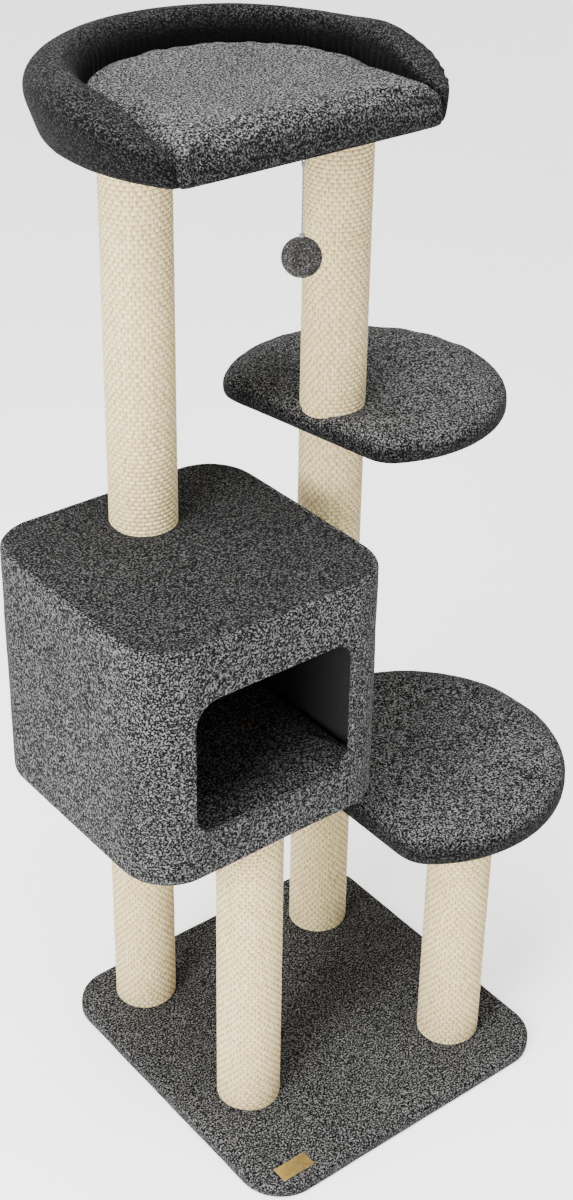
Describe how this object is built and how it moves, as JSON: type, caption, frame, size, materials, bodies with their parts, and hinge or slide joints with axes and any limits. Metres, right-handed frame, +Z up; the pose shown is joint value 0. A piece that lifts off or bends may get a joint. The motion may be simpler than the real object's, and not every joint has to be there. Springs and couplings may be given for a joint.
{
  "type": "cat tree",
  "caption": "Free-standing cat tree: carpeted base, rope-wound scratching posts, a cabin with a doorway, padded shelves, a bolstered top perch and a hanging pompom toy.",
  "frame": {"origin": "middle of the base's underside, on the floor", "axes": "+Z up; -Y to the front, the side of the cabin's doorway; +X to the side of the padded shelves"},
  "size_m": [0.739, 0.629, 1.342],
  "materials": {
    "charcoal_plush": "short heather-grey pile carpet fabric",
    "dark_lining": "thin woven lining",
    "sisal_rope": "twisted natural sisal, tightly wound",
    "mdf": "raw fibreboard",
    "plywood": "thin bent plywood",
    "card_tube": "spiral-wound card",
    "beech": "turned wood",
    "zinc_steel": "zinc plated",
    "brass_plate": "brushed, blank",
    "foam": "cut upholstery foam",
    "grey_plush": "fluffy pompom yarn",
    "grey_cord": "braided cord",
    "nonwoven_backing": "non-woven anti-slip sheet"
  },
  "bodies": {
    "frame": {"base_board": "mdf", "base_cover": "charcoal_plush", "base_underlay": "nonwoven_backing", "label_plate": "brass_plate", "left_front_post_tube": "card_tube", "left_front_post_rope": "sisal_rope", "left_front_post_plugs": "beech", "left_rear_post_tube": "card_tube", "left_rear_post_rope": "sisal_rope", "left_rear_post_plugs": "beech", "right_front_post_tube": "card_tube", "right_front_post_rope": "sisal_rope", "right_front_post_plugs": "beech", "right_rear_post_tube": "card_tube", "right_rear_post_rope": "sisal_rope", "right_rear_post_plugs": "beech", "middle_post_tube": "card_tube", "middle_post_rope": "sisal_rope", "middle_post_plugs": "beech", "upper_left_post_tube": "card_tube", "upper_left_post_rope": "sisal_rope", "upper_left_post_plugs": "beech", "upper_right_post_tube": "card_tube", "upper_right_post_rope": "sisal_rope", "upper_right_post_plugs": "beech", "threaded_inserts": "zinc_steel", "base_bolts": "zinc_steel", "base_washers": "zinc_steel", "cabin_floor_bolts": "zinc_steel", "cabin_floor_washers": "zinc_steel", "cabin_roof_bolt": "zinc_steel", "cabin_roof_washer": "zinc_steel", "through_studs": "zinc_steel", "platform_studs": "zinc_steel", "flanged_nuts": "zinc_steel", "cabin_wall_cover": "charcoal_plush", "cabin_wall": "plywood", "cabin_lining": "dark_lining", "cabin_roof_cover": "charcoal_plush", "cabin_roof_board": "mdf", "cabin_floor_cover": "charcoal_plush", "cabin_floor_board": "mdf", "low_shelf_board": "mdf", "low_shelf_padding": "foam", "low_shelf_cover": "charcoal_plush", "middle_shelf_board": "mdf", "middle_shelf_padding": "foam", "middle_shelf_cover": "charcoal_plush", "perch_board": "mdf", "perch_cover": "charcoal_plush", "mattress": "charcoal_plush", "bolster": "charcoal_plush", "toy_staple": "zinc_steel"},
    "cabin_mat": {"cabin_mat": "charcoal_plush"},
    "toy_loop": {"toy_loop": "grey_cord"},
    "toy_cord": {"toy_cord": "grey_cord", "toy_tie": "grey_cord"},
    "pompom": {"pompom": "grey_plush"}
  },
  "joints": [
    {"name": "mat_lift", "type": "slide", "parent": "frame", "child": "cabin_mat", "axis": [0, 0, 1], "range_m": [0, 0.2]},
    {"name": "toy_swing_front_back", "type": "hinge", "parent": "frame", "child": "toy_loop", "pos_m": [-0.008, 0.027, 1.2575], "axis": [1, 0, 0], "range_deg": [-60, 60]},
    {"name": "toy_swing_sideways", "type": "hinge", "parent": "toy_loop", "child": "toy_cord", "pos_m": [-0.008, 0.027, 1.2518], "axis": [0, 1, 0], "range_deg": [-60, 60]},
    {"name": "pompom_twist", "type": "hinge", "parent": "toy_cord", "child": "pompom", "pos_m": [-0.008, 0.027, 1.1518], "axis": [0, 0, 1], "range_deg": [-180, 180]}
  ]
}
